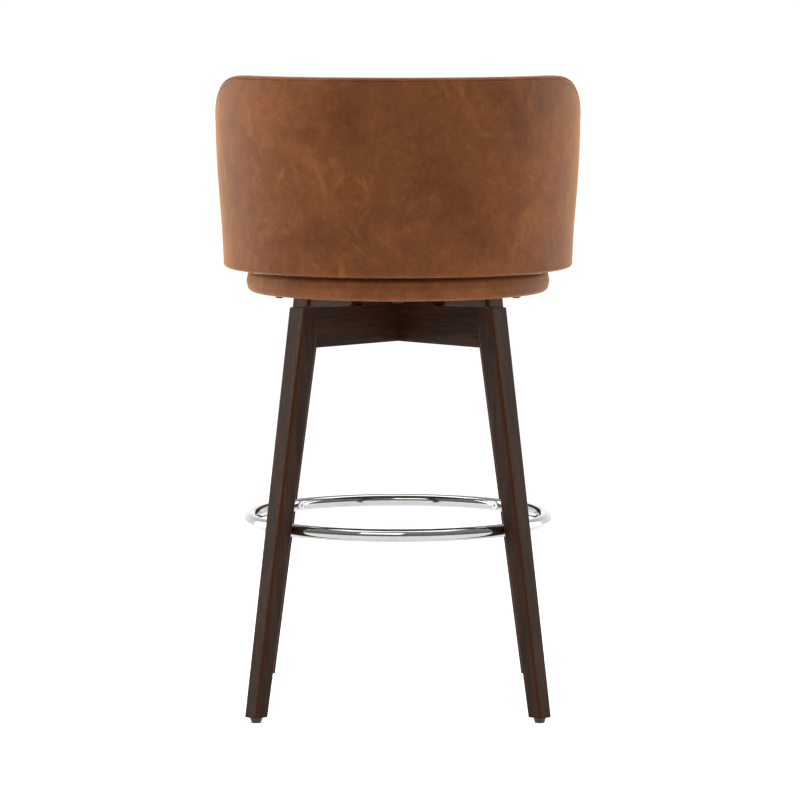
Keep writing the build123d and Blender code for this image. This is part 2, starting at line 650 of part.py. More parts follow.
def seat_cushion():
    """The crowned round cushion that lies inside the back."""
    low = PAD_TOP + CUSHION_GAP
    edge = low + CUSHION_EDGE_HEIGHT
    middle = (CUSHION_RADIUS / 2, edge + CUSHION_CROWN * CROWN_AT_HALF)
    crown = ThreePointArc((0, edge + CUSHION_CROWN), middle, (CUSHION_RADIUS, edge))
    sides = Polyline(crown @ 1, (CUSHION_RADIUS, low), (0, low), crown @ 0)
    outline = make_face([crown, sides])
    rim = outline.vertices().group_by(Axis.X)[-1].sort_by(Axis.Y)
    outline = fillet(rim[-1], CUSHION_TOP_ROUND)
    rim = outline.vertices().group_by(Axis.X)[-1].sort_by(Axis.Y)
    outline = fillet(rim[0], CUSHION_BOTTOM_ROUND)
    body = revolve(Plane.XZ * outline, Axis.Z)
    return Pos(0, SHELL_CENTRE_Y + CUSHION_SETBACK, 0) * body


def build_seat():
    """The seat board with its pads, the barrel back and what joins them."""
    side_start, side_end = SIDE_BRACKET_ARC
    arcs = {
        "right_back_bracket": SIDE_BRACKET_ARC,
        "left_back_bracket": (-side_end, -side_start),
        "rear_back_bracket": REAR_BRACKET_ARC,
    }
    bolts = [bracket_bolt(1), bracket_bolt(-1)]
    board_screws = [screw for arc in arcs.values() for screw in bracket_wood_screws(arc)]
    ply_screws = [screw for arc in arcs.values() for screw in frame_screws(arc)]
    board_fixings = board_screws + bolts
    tee_nuts = [tee_nut(angle) for angle in DIAGONALS]
    plate_bolts = [upper_bolt(angle) for angle in DIAGONALS]

    board = disc(BOARD_RADIUS, BOARD_BOTTOM, BOARD_TOP)
    dust_cover = disc(BOARD_RADIUS - DUST_COVER_MARGIN, BOARD_BOTTOM - DUST_COVER_THICKNESS, BOARD_BOTTOM)
    dust_cover = dust_cover - disc(DUST_COVER_HOLE_RADIUS, BLOCK_TOP, BOARD_BOTTOM)
    pad = pad_blank() - disc(BOARD_RADIUS, BOARD_BOTTOM - OVERCUT, BOARD_TOP)
    shell = barrel(shell_outline(), (-SHELL_HALF_ARC, SHELL_HALF_ARC)) & sweep_profile(0)
    frame = back_frame()
    panel = outer_panel(shell)
    inner_pad = shell - panel - frame

    brackets = {name: bracket(arc) for name, arc in arcs.items()}
    for name in brackets:
        for fixing in board_fixings + ply_screws:
            brackets[name] = brackets[name] - fixing
    for fixing in board_fixings + tee_nuts + plate_bolts:
        board = board - fixing
        pad = pad - fixing
    for bolt in bolts:
        dust_cover = dust_cover - bolt
    for arc in arcs.values():
        pad = pad - bracket(arc)
        inner_pad = inner_pad - bracket(arc)
    for screw in ply_screws:
        frame = frame - screw
        inner_pad = inner_pad - screw

    nodes["seat_board"] = board
    nodes["seat_dust_cover"] = dust_cover
    nodes["seat_rim_pad"] = pad
    nodes["seat_cushion"] = seat_cushion()
    nodes["back_frame"] = frame
    nodes["back_inner_pad"] = inner_pad
    nodes["back_outer_panel"] = panel
    nodes.update(brackets)
    nodes["bracket_bolts"] = group(bolts)
    nodes["bracket_screws"] = group(board_screws)
    nodes["back_frame_screws"] = group(ply_screws)


build_base()
build_swivel()
build_seat()
os.makedirs("parts", exist_ok=True)
for name, shape in nodes.items():
    export_step(shape, "parts/" + name + ".step")
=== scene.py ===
"""Bar stool with a barrel back: materials, upholstery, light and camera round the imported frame."""
from math import asin, cos, pi, radians, sin

import bmesh
import bpy
import numpy as np
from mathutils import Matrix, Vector, noise


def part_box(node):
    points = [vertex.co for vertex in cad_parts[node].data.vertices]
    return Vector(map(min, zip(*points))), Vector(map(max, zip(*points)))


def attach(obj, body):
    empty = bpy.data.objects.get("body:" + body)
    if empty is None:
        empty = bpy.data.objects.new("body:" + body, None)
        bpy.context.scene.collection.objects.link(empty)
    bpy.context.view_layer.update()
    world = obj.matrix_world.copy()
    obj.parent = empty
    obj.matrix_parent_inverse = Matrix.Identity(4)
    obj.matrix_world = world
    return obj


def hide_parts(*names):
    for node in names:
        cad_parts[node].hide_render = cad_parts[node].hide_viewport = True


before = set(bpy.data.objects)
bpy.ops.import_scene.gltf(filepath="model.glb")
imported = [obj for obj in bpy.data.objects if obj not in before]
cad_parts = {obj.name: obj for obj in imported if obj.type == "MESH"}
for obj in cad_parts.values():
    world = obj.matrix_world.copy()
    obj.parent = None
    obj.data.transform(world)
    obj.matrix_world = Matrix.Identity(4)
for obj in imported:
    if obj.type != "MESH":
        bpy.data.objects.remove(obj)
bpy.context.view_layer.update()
scene = bpy.context.scene

# --- Sizes read from the frame, in metres ------------------------------------------------------

BACK_LOW, BACK_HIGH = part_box("back_outer_panel")
PAD_LOW, PAD_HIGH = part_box("seat_rim_pad")
CUSHION_LOW, CUSHION_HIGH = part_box("seat_cushion")
BOARD_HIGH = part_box("seat_board")[1]

BACK_RADIUS = (BACK_HIGH[0] - BACK_LOW[0]) / 2
BACK_AXIS_Y = BACK_HIGH[1] - BACK_RADIUS
BACK_BOTTOM = BACK_LOW[2]
BACK_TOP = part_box("back_inner_pad")[1][2]


# --- Materials ---------------------------------------------------------------------------------

class Nodes:
    """A short way to write the nodes of a material or a world."""

    def __init__(self, owner):
        owner.use_nodes = True
        self.owner = owner
        self.tree = owner.node_tree

    def add(self, kind, values=None, **settings):
        node = self.tree.nodes.new(kind)
        for key, value in settings.items():
            setattr(node, key, value)
        for key, value in (values or {}).items():
            node.inputs[key].default_value = value
        return node

    def link(self, source, target):
        self.tree.links.new(source, target)

    def coordinates(self, stretch=(1, 1, 1), turn=(0, 0, 0), shift=(0, 0, 0)):
        """Object coordinates along turned axes, with a pattern drawn out by a factor along each."""
        source = self.add("ShaderNodeTexCoord")
        mapping = self.add("ShaderNodeMapping", vector_type="TEXTURE")
        mapping.inputs["Scale"].default_value = stretch
        mapping.inputs["Rotation"].default_value = turn
        mapping.inputs["Location"].default_value = shift
        self.link(source.outputs["Object"], mapping.inputs["Vector"])
        return mapping.outputs["Vector"]

    def noise(self, vector, scale, detail=4.0, rough=0.5, distortion=0.0):
        node = self.add("ShaderNodeTexNoise", {
            "Scale": scale, "Detail": detail, "Roughness": rough, "Distortion": distortion})
        self.link(vector, node.inputs["Vector"])
        return node.outputs["Fac"]

    def ramp(self, factor, stops, ease=False):
        """A colour ramp. Stops are (position, grey or colour)."""
        node = self.add("ShaderNodeValToRGB")
        if ease:
            node.color_ramp.interpolation = "EASE"
        elements = node.color_ramp.elements
        while len(elements) < len(stops):
            elements.new(0.5)
        for element, (position, colour) in zip(elements, stops):
            element.position = position
            if not isinstance(colour, tuple):
                colour = (colour, colour, colour)
            element.color = (*colour, 1)
        self.link(factor, node.inputs["Fac"])
        return node.outputs["Color"]

    def mix(self, factor, a, b, blend="MIX"):
        """Two colours mixed. a and b are sockets or colours."""
        node = self.add("ShaderNodeMix", data_type="RGBA", blend_type=blend)
        for socket, value in ((node.inputs[0], factor), (node.inputs[6], a), (node.inputs[7], b)):
            if isinstance(value, tuple):
                socket.default_value = (*value, 1)
            elif isinstance(value, (int, float)):
                socket.default_value = value
            else:
                self.link(value, socket)
        return node.outputs[2]

    def math(self, operation, *values):
        """A math node of sockets or numbers."""
        node = self.add("ShaderNodeMath", operation=operation)
        for socket, value in zip(node.inputs, values):
            if isinstance(value, (int, float)):
                socket.default_value = value
            else:
                self.link(value, socket)
        return node.outputs[0]

    def normal_parts(self):
        """The surface normal's X, Y and Z."""
        split = self.add("ShaderNodeSeparateXYZ")
        self.link(self.add("ShaderNodeNewGeometry").outputs["Normal"], split.inputs[0])
        return split.outputs

    def bump(self, height, strength, distance, normal=None):
        node = self.add("ShaderNodeBump", {"Strength": strength, "Distance": distance})
        self.link(height, node.inputs["Height"])
        if normal is not None:
            self.link(normal, node.inputs["Normal"])
        return node.outputs["Normal"]

    def set(self, **values):
        """Constants or sockets for the shader's inputs, by name with underscores for spaces."""
        shader = self.tree.nodes["Principled BSDF"]
        for key, value in values.items():
            socket = shader.inputs[key.replace("_", " ")]
            if isinstance(value, bpy.types.NodeSocket):
                self.link(value, socket)
            elif isinstance(value, tuple):
                socket.default_value = (*value, 1)
            else:
                socket.default_value = value
        return self.owner


def leather_material():
    """Waxed brown leather: soft clouds of tone, pale scuffs and a fine pebbled grain."""
    m = Nodes(bpy.data.materials.new("brown_leather"))
    flat = m.coordinates()
    cloud = m.noise(flat, 7.0, 3.0, 0.55, 0.3)
    tone = m.ramp(cloud, [(0.30, (0.118, 0.0385, 0.0122)), (0.50, (0.146, 0.0495, 0.0160)),
                          (0.70, (0.177, 0.0620, 0.0208))], True)
    for scale, seed, depth in ((18.0, 0.4, 0.06), (46.0, 2.1, 0.06), (120.0, 4.6, 0.04)):
        patch = m.noise(m.coordinates((1, 1, 0.8), (seed, seed, 0), (seed, 0, 0)), scale, 5.0, 0.65, 0.8)
        shade = m.ramp(patch, [(0.34, 0.5 - depth * 0.7), (0.50, 0.5), (0.66, 0.5 + depth)], True)
        tone = m.mix(1.0, tone, shade, "OVERLAY")
    # Pale scuffs: short soft streaks, drawn out different ways in different places
    for lean, seed, amount in ((0.12, 3.1, 0.60), (-0.60, 7.7, 0.50), (0.85, 5.2, 0.50)):
        drawn = m.coordinates((0.4, 0.4, 1.9), (0, lean, 0), (seed, 0, 0))
        streak = m.noise(drawn, 16.0, 5.0, 0.62, 0.9)
        where = m.noise(m.coordinates(shift=(seed, 0.2, 0.1)), 9.0, 3.0, 0.55)
        mask = m.math("MULTIPLY", m.ramp(streak, [(0.52, 0.0), (0.74, 1.0)], True),
                      m.ramp(where, [(0.50, 0.0), (0.64, amount)], True))
        tone = m.mix(mask, tone, (0.262, 0.104, 0.031))
    # Fine pores
    pores = m.noise(flat, 300.0, 6.0, 0.7)
    tone = m.mix(0.8, tone, m.ramp(pores, [(0.30, 0.42), (0.70, 0.58)]), "OVERLAY")
    grain = m.add("ShaderNodeTexVoronoi", {"Scale": 560.0, "Randomness": 1.0})
    m.link(flat, grain.inputs["Vector"])
    wrinkles = m.noise(m.coordinates((1, 1, 0.7)), 75.0, 6.0, 0.62, 0.4)
    normal = m.bump(wrinkles, 0.30, 0.0010)
    normal = m.bump(grain.outputs["Distance"], 0.20, 0.0003, normal)
    rough = m.ramp(cloud, [(0.3, 0.52), (0.7, 0.64)])
    return m.set(Base_Color=tone, Roughness=rough, Normal=normal, Sheen_Weight=0.46,
                 Sheen_Roughness=0.30, Sheen_Tint=(1.0, 0.58, 0.28), Specular_IOR_Level=0.07)


def wood_material(name, turn, tint, painted_corner_reflection=False):
    """Dark stained beech with the grain along the turned Z axis. Its corners get a painted reflection: a
    redder tone standing in for the duller sheen on their rounded edges.
    """
    m = Nodes(bpy.data.materials.new(name))
    grain = m.noise(m.coordinates((1, 1, 18), turn), 170.0, 5.0, 0.60, 0.6)
    broad = m.noise(m.coordinates((1, 1, 9), turn), 42.0, 3.0, 0.5, 0.4)
    stain = ((0.30, (0.0215, 0.0098, 0.0053)), (0.52, (0.0330, 0.0152, 0.0084)),
             (0.72, (0.0455, 0.0215, 0.0120)))
    base = m.ramp(grain, [(at, tuple(part * tint for part in colour)) for at, colour in stain], True)
    base = m.mix(1.0, base, m.ramp(broad, [(0.32, 0.36), (0.5, 0.5), (0.68, 0.62)], True), "OVERLAY")
    # Pores: short dark dashes along the grain
    dashes = m.noise(m.coordinates((1, 1, 14), turn), 520.0, 2.0, 0.5)
    dash = m.ramp(dashes, [(0.60, 0.0), (0.68, 0.6)])
    base = m.mix(dash, base, (0.010, 0.005, 0.003))
    facing_x, facing_y, facing_z = m.normal_parts()
    if painted_corner_reflection:
        # The legs' corners face along X and Y, and their faces look along the diagonals. Painted reflection:
        # the corners get a redder tone standing in for the weaker reflection on their rounded edges.
        corner = m.math("MAXIMUM", m.math("ABSOLUTE", facing_x), m.math("ABSOLUTE", facing_y))
        uneven = m.math("ADD", corner, m.math("MULTIPLY", grain, 0.04))
        painted_reflection_mask = m.ramp(uneven, [(0.745, 0.0), (0.90, 0.75)], True)
        base = m.mix(painted_reflection_mask, base, (0.056, 0.0155, 0.0038))
    # Painted shade: faces that look up are darkened, standing in for the shade under the seat
    base = m.mix(m.ramp(facing_z, [(0.75, 0.0), (0.92, 0.9)]), base, (0.004, 0.0025, 0.002))
    normal = m.bump(grain, 0.16, 0.0004)
    normal = m.bump(dash, 0.2, -0.0002, normal)
    rough = m.ramp(grain, [(0.3, 0.34), (0.7, 0.46)])
    return m.set(Base_Color=base, Roughness=rough, Normal=normal, Specular_IOR_Level=0.07)


def chrome_material():
    """Polished chromium plate with very faint handling marks."""
    m = Nodes(bpy.data.materials.new("chrome_plate"))
    smudge = m.noise(m.coordinates(), 34.0, 5.0, 0.6, 0.8)
    fine = m.noise(m.coordinates(), 260.0, 2.0, 0.5)
    rough = m.ramp(smudge, [(0.35, 0.05), (0.75, 0.13)])
    tone = m.ramp(smudge, [(0.3, (0.41, 0.41, 0.41)), (0.7, (0.46, 0.46, 0.46))])
    return m.set(Base_Color=tone, Metallic=1.0, Roughness=rough, Normal=m.bump(fine, 0.03, 0.0002))


def metal_material(name, low, high, rough_low, rough_high, metallic=1.0):
    """Plain or painted metal with a mottled finish."""
    m = Nodes(bpy.data.materials.new(name))
    flat = m.coordinates()
    cloud = m.noise(flat, 120.0, 4.0, 0.6, 0.3)
    tone = m.ramp(cloud, [(0.3, low), (0.7, high)])
    rough = m.ramp(cloud, [(0.3, rough_low), (0.7, rough_high)])
    skin = m.noise(flat, 720.0, 3.0, 0.6)
    return m.set(Base_Color=tone, Metallic=metallic, Roughness=rough, Normal=m.bump(skin, 0.12, 0.0002))


def plywood_material():
    """Birch plywood: pale figured faces and darker glue lines on its edges."""
    m = Nodes(bpy.data.materials.new("birch_plywood"))
    figure = m.noise(m.coordinates((13, 1, 1)), 130.0, 5.0, 0.6, 0.6)
    tone = m.ramp(figure, [(0.3, (0.42, 0.27, 0.14)), (0.7, (0.58, 0.41, 0.24))], True)
    layers = m.add("ShaderNodeTexWave", {"Scale": 56.0, "Distortion": 0.4, "Detail": 2.0})
    layers.bands_direction = "Z"
    m.link(m.coordinates(), layers.inputs["Vector"])
    lines = m.ramp(layers.outputs["Fac"], [(0.40, 0.0), (0.62, 0.6)])
    side = m.ramp(m.math("ABSOLUTE", m.normal_parts()[2]), [(0.4, 1.0), (0.7, 0.0)])
    tone = m.mix(m.math("MULTIPLY", lines, side), tone, (0.16, 0.085, 0.04))
    return m.set(Base_Color=tone, Roughness=0.62, Normal=m.bump(figure, 0.2, 0.0004))


def plastic_material():
    """Black moulded nylon with a fine spark-eroded texture."""
    m = Nodes(bpy.data.materials.new("black_nylon"))
    flat = m.coordinates()
    texture = m.noise(flat, 1400.0, 3.0, 0.6)
    cloud = m.noise(flat, 90.0, 3.0, 0.5)
    tone = m.ramp(cloud, [(0.3, (0.010, 0.010, 0.011)), (0.7, (0.020, 0.019, 0.019))])
    return m.set(Base_Color=tone, Roughness=m.ramp(cloud, [(0.3, 0.42), (0.7, 0.56)]),
                 Normal=m.bump(texture, 0.25, 0.0002))


def cloth_material():
    """Black non-woven dust cover with a small bonded dot pattern."""
    m = Nodes(bpy.data.materials.new("black_dust_cloth"))
    flat = m.coordinates()
    dots = m.add("ShaderNodeTexVoronoi", {"Scale": 420.0, "Randomness": 0.15})
    m.link(flat, dots.inputs["Vector"])
    fibre = m.noise(flat, 700.0, 4.0, 0.7)
    tone = m.ramp(fibre, [(0.3, (0.010, 0.010, 0.010)), (0.7, (0.030, 0.029, 0.028))])
    normal = m.bump(dots.outputs["Distance"], 0.4, 0.0004)
    return m.set(Base_Color=tone, Roughness=0.9, Normal=normal, Sheen_Weight=0.15)


leather = leather_material()
leg_wood = wood_material("dark_wood_upright", (0, 0, 0), 0.92, painted_corner_reflection=True)
rail_wood_a = wood_material("dark_wood_rail_a", (pi / 2, 0, -pi / 4), 1.0)
rail_wood_b = wood_material("dark_wood_rail_b", (pi / 2, 0, pi / 4), 1.0)
chrome = chrome_material()
black_steel = metal_material("black_painted_steel", (0.012, 0.012, 0.013), (0.024, 0.023, 0.023),
                             0.36, 0.5, metallic=0.0)
zinc = metal_material("zinc_plated_steel", (0.42, 0.43, 0.45), (0.62, 0.63, 0.65), 0.22, 0.38)
brass = metal_material("brass", (0.60, 0.40, 0.13), (0.78, 0.56, 0.22), 0.24, 0.40)
plywood = plywood_material()
nylon = plastic_material()
dust_cloth = cloth_material()

CORNERS = ("rear_right", "rear_left", "front_left", "front_right")
FINISHES = (
    (chrome, ("footrest_ring", "footrest_bolts", "footrest_saddles")),
    (brass, ("footrest_inserts", "ball_cage")),
    (leg_wood, ["leg_" + corner for corner in CORNERS]),
    (nylon, ["glide_" + corner for corner in CORNERS]),
    (rail_wood_a, ("cross_rail_a",)),
    (rail_wood_b, ("cross_rail_b",)),
    (plywood, ("seat_board", "back_frame")),
    (dust_cloth, ("seat_dust_cover",)),
    (black_steel, ("lower_swivel_plate", "upper_swivel_plate", "left_back_bracket", "right_back_bracket",
                   "rear_back_bracket", "bracket_bolts")),
    (zinc, ("swivel_balls", "swivel_pivot", "lower_plate_screws", "upper_plate_bolts", "seat_tee_nuts",
            "glide_nails", "bracket_screws", "back_frame_screws")),
)
for material, nodes in FINISHES:
    for node in nodes:
        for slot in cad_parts[node].material_slots:
            slot.material = material


# --- Mesh helpers ------------------------------------------------------------------------------

WELD = 2e-5


def mesh_object(name, points, faces, material, weld=0.0):
    """A smooth-shaded object from points and faces. Points closer than the weld are joined."""
    mesh = bpy.data.meshes.new(name)
    mesh.from_pydata([tuple(p) for p in points], [], faces)
    thing = bpy.data.objects.new(name, mesh)
    scene.collection.objects.link(thing)
    if weld:
        work = bmesh.new()
        work.from_mesh(mesh)
        bmesh.ops.remove_doubles(work, verts=work.verts, dist=weld)
        bmesh.ops.dissolve_degenerate(work, edges=work.edges, dist=weld / 10)
        bmesh.ops.recalc_face_normals(work, faces=work.faces)
        work.to_mesh(mesh)
        work.free()
    mesh.shade_smooth()
    mesh.materials.append(material)
    return thing


def loop_grid(rows, columns):
    """Quads between rows of points, each row closed on itself."""
    faces = []
    for row in range(rows - 1):
        here = row * columns
        above = here + columns
        for column in range(columns):
            after = (column + 1) % columns
            faces.append((here + column, here + after, above + after, above + column))
    return faces


# --- Barrel back -------------------------------------------------------------------------------

# The back is drawn unrolled at a reference radius, as arc length round the axis and height. Its front edge
# sweeps from the level top at SWEEP_START down a quarter of an ellipse.
REFERENCE = 0.302
SWEEP_START = 0.115
SWEEP_LENGTH = 0.255
SWEEP_LOW = BACK_BOTTOM - 0.048
SWEEP_RISE = BACK_TOP - SWEEP_LOW
OUTER_ROUND = 0.008
INNER_ROUND = 0.013
SEAM_INSET = 0.005
OUTER_FOLD = 0.0024
INNER_FOLD = 0.0016
RIDGE_WIDTH = 0.0055
HOLLOW_WIDTH = 0.0045
COVER_DEPTH = 0.010
CORNER_ROUND = 0.024
# The covers' columns leave the outline square to it, bend over, and run to a level spine in mid face
COLUMNS = 260
BEND = 0.020
SPINE_HALF = 0.43
SPINE_HEIGHT = BACK_BOTTOM + 0.52 * (BACK_TOP - BACK_BOTTOM)
# The outer face's radius at the foot, waist, widest section and top
OUTER_CURVE = np.polyfit((0.748, 0.8525, 0.965, 1.059), (0.296, 0.302, 0.3084, 0.305), 3)


def outer_radius(z):
    """The outer face's radius at a height."""
    return np.polyval(OUTER_CURVE, np.clip(z, BACK_BOTTOM, BACK_TOP))


def inner_radius(z):
    """The inner face's radius at a height: it leans back, a little hollow."""
    share = (z - BACK_BOTTOM) / (BACK_TOP - BACK_BOTTOM)
    return 0.254 + 0.009 * share - 0.002 * np.sin(pi * np.clip(share, 0, 1))


def edge_y(z):
    """Where the swept edge is at a height."""
    rise = np.clip((z - SWEEP_LOW) / SWEEP_RISE, 0, 1)
    return SWEEP_START - SWEEP_LENGTH * np.sqrt(1 - rise * rise)


def edge_angle(z, radius):
    """The swept edge's angle from the back's centre line, on a cylinder."""
    return np.arccos(np.clip((edge_y(z) - BACK_AXIS_Y) / radius, -1, 1))


def stretches(chain):
    """The running length of a chain of unrolled points."""
    return np.concatenate(([0], np.cumsum(np.linalg.norm(np.diff(chain, axis=0), axis=1))))


def spread(chain, count):
    """The chain again with evenly spaced points."""
    run = stretches(chain)
    stations = np.linspace(0, run[-1], count)
    return np.column_stack([np.interp(stations, run, chain[:, k]) for k in range(2)])


def back_boundary():
    """Upper and lower half of the back's outline, unrolled to arc length and height, left to right."""
    foot = REFERENCE * edge_angle(BACK_BOTTOM, REFERENCE)
    turn = np.linspace(asin((BACK_BOTTOM - SWEEP_LOW) / SWEEP_RISE), pi / 2, 500)
    heights = SWEEP_LOW + SWEEP_RISE * np.sin(turn)
    side = np.column_stack((REFERENCE * edge_angle(heights, REFERENCE), heights))
    run = stretches(side)
    start = np.array([np.interp(CORNER_ROUND, run, side[:, k]) for k in range(2)])
    side = np.vstack((start, side[run > CORNER_ROUND]))
    level = np.linspace(side[-1, 0], 0, 60)[1:]
    bottom = np.linspace(0, foot - CORNER_ROUND, 120)
    share = np.linspace(0, 1, 24)[1:-1, None]
    before = np.array((foot - CORNER_ROUND, BACK_BOTTOM))
    corner = np.array((foot, BACK_BOTTOM))
    arc = (1 - share) ** 2 * before + 2 * share * (1 - share) * corner + share ** 2 * start
    half = np.vstack((
        np.column_stack((bottom, np.full(bottom.shape, BACK_BOTTOM))), arc, side,
        np.column_stack((level, np.full(level.shape, BACK_TOP))),
    ))
    split = int(np.argmax(half[:, 1] >= SPINE_HEIGHT))
    count = COLUMNS // 2 + 1
    lower = spread(half[:split + 1][::-1], count)
    upper = spread(half[split:], count)

    def mirrored(chain):
        return np.vstack((chain * np.array((-1, 1)), chain[::-1][1:]))

    return mirrored(upper), mirrored(lower)


def boundary_loop():
    """The closed outline, its inward normals and each point's place on the spine."""
    upper, lower = back_boundary()
    loop = np.vstack((upper, lower[::-1][1:-1]))
    along = np.roll(loop, -1, axis=0) - np.roll(loop, 1, axis=0)
    along /= np.linalg.norm(along, axis=1)[:, None]
    inward = np.column_stack((along[:, 1], -along[:, 0]))
    share = np.linspace(-1, 1, len(upper))
    spine_upper = np.column_stack((share * SPINE_HALF, np.full(len(upper), SPINE_HEIGHT)))
    spine = np.vstack((spine_upper, spine_upper[::-1][1:-1]))
    return loop, inward, spine


LOOP, INWARD, SPINE = boundary_loop()
REACH = np.linalg.norm(SPINE - LOOP, axis=1)
TOWARD = (SPINE - LOOP) / REACH[:, None]
# How far a point of the outline belongs to the lower edge: 1 under the back, 0 on its top and front edges
LOWER_SHARE = np.clip((BACK_BOTTOM + 0.034 - LOOP[:, 1]) / 0.030, 0, 1)
LOWER_SHARE = LOWER_SHARE * LOWER_SHARE * (3 - 2 * LOWER_SHARE)


def inset_point(distance):
    """The unrolled points at one distance in from the outline, given per column."""
    distance = np.broadcast_to(distance, REACH.shape)
    near = np.clip(distance, 0, BEND)
    normal_part = near - near ** 2 / (2 * BEND)
    point = LOOP + INWARD * (normal_part + np.minimum(distance, 0))[:, None]
    point = point + TOWARD * (near - normal_part)[:, None]
    at_bend = LOOP + INWARD * (BEND / 2) + TOWARD * (BEND / 2)
    share = np.clip((distance - BEND) / (REACH - BEND), 0, 1)[:, None]
    return np.where(distance[:, None] > BEND, at_bend + (SPINE - at_bend) * share, point)


def place(flat, depth):
    """Unrolled points at a depth below the outer face, as points in space."""
    z = flat[:, 1]
    radius = outer_radius(z) - depth
    angle = flat[:, 0] / (REFERENCE * edge_angle(z, REFERENCE)) * edge_angle(z, radius)
    return np.column_stack((radius * np.sin(angle), BACK_AXIS_Y + radius * np.cos(angle), z))


def thickness(flat):
    """The back's thickness at unrolled points."""
    z = flat[:, 1]
    return outer_radius(z) - inner_radius(z)


def section_row(q):
    """One row round the back, as unrolled points and their depths below the outer face.

    q is the length round the section, per column: negative on the outer face and its rounded edge, 0 where
    the rim starts, and growing over the rim and across the inner face.
    """
    q = np.broadcast_to(q, REACH.shape).astype(float)
    wall = thickness(LOOP)
    outer_arc = OUTER_ROUND * pi / 2
    inner_arc = INNER_ROUND * pi / 2
    rim = wall - OUTER_ROUND - INNER_ROUND
    distance = np.zeros_like(q)
    depth = np.zeros_like(q)
    on_face = q < -outer_arc
    distance[on_face] = OUTER_ROUND + (-q[on_face] - outer_arc)
    on_arc = (q >= -outer_arc) & (q < 0)
    turn = (q[on_arc] + outer_arc) / OUTER_ROUND
    distance[on_arc] = OUTER_ROUND - OUTER_ROUND * np.sin(turn)
    depth[on_arc] = OUTER_ROUND - OUTER_ROUND * np.cos(turn)
    on_rim = (q >= 0) & (q < rim)
    share = q[on_rim] / rim[on_rim]
    distance[on_rim] = -0.0006 * np.sin(pi * share)
    depth[on_rim] = OUTER_ROUND + q[on_rim]
    on_inner_arc = (q >= rim) & (q < rim + inner_arc)
    turn = (q[on_inner_arc] - rim[on_inner_arc]) / INNER_ROUND
    distance[on_inner_arc] = INNER_ROUND - INNER_ROUND * np.cos(turn)
    depth[on_inner_arc] = wall[on_inner_arc] - INNER_ROUND + INNER_ROUND * np.sin(turn)
    inside = q >= rim + inner_arc
    distance[inside] = INNER_ROUND + q[inside] - rim[inside] - inner_arc
    flat = inset_point(distance)
    return flat, np.where(inside, thickness(flat), depth)


def seam_q():
    """Where the outer panel meets the inner cover, per column."""
    outer_arc = OUTER_ROUND * pi / 2
    turn = asin((OUTER_ROUND - SEAM_INSET) / OUTER_ROUND)
    at_top = OUTER_ROUND * turn - outer_arc
    under_edge = 0.4 * (thickness(LOOP) - OUTER_ROUND - INNER_ROUND)
    return at_top * (1 - LOWER_SHARE) + under_edge * LOWER_SHARE


def rumple(points, amount, seed):
    """Small soft unevenness, outward from the back's axis."""
    moved = np.array(points)
    shift = Vector((seed, seed * 0.7, seed * 1.3))
    for index, point in enumerate(points):
        here = Vector(point)
        soft = noise.noise(here * 9 + shift) + 0.45 * noise.noise(here * 24 + shift)
        away = Vector((here.x, here.y - BACK_AXIS_Y, 0)).normalized()
        moved[index] += np.array(away) * soft * amount
    return moved


def fold_in(q, inward):
    """A row of the section moved square to its own surface, into the back."""
    flat, depth = section_row(q)
    here = place(flat, depth)
    middle_depth = thickness(flat) / 2
    # On the face the inside is toward the axis, and on the edge it is toward the middle of the face
    edge = np.clip(depth / OUTER_ROUND, 0, 1)
    ahead = inset_point(np.full(REACH.shape, 0.030))
    down = place(ahead, np.minimum(depth, middle_depth)) - here
    down /= np.linalg.norm(down, axis=1)[:, None]
    axis = np.column_stack((-here[:, 0], BACK_AXIS_Y - here[:, 1], np.zeros(len(here))))
    axis /= np.linalg.norm(axis, axis=1)[:, None]
    way = axis * (1 - edge)[:, None] + down * edge[:, None]
    way /= np.linalg.norm(way, axis=1)[:, None]
    return here + way * inward


def back_outer_cover():
    """The outer leather panel: from its middle to the seam, then folded in at the seam."""
    seam = seam_q()
    full = -(REACH - OUTER_ROUND) - OUTER_ROUND * pi / 2
    last = seam - OUTER_FOLD
    turned = seam - 0.012
    rows = []
    steps = np.concatenate((np.linspace(0, 0.93, 26), 0.93 + 0.07 * np.linspace(0, 1, 18)[1:] ** 0.8))
    for step in steps:
        q = full + (last - full) * step
        flat, depth = section_row(q)
        # The turned-in allowance lifts a low ridge beside the seam, and the stitching pulls it down behind
        lift = 0.0006 * np.sin(pi * np.clip((last - q) / RIDGE_WIDTH, 0, 1))
        lift -= 0.0002 * np.sin(pi * np.clip((last - q - RIDGE_WIDTH) / HOLLOW_WIDTH, 0, 1))
        rows.append(rumple(place(flat, depth - lift * (1 - LOWER_SHARE)), 0.0005, 3.0))
    # The fold: a small quarter round, then straight in and back behind the face
    for turn in np.linspace(0, pi / 2, 6)[1:]:
        rows.append(fold_in(last + OUTER_FOLD * sin(turn), OUTER_FOLD * (1 - cos(turn))))
    rows.append(fold_in(seam, 0.007))
    rows.append(fold_in(turned, 0.009))
    for share in (0.2, 0.5, 0.8, 1.0):
        rows.append(fold_in(turned + (full - turned) * share, COVER_DEPTH))
    return mesh_object("back_outer_cover", np.vstack(rows), loop_grid(len(rows), len(REACH)), leather, WELD)


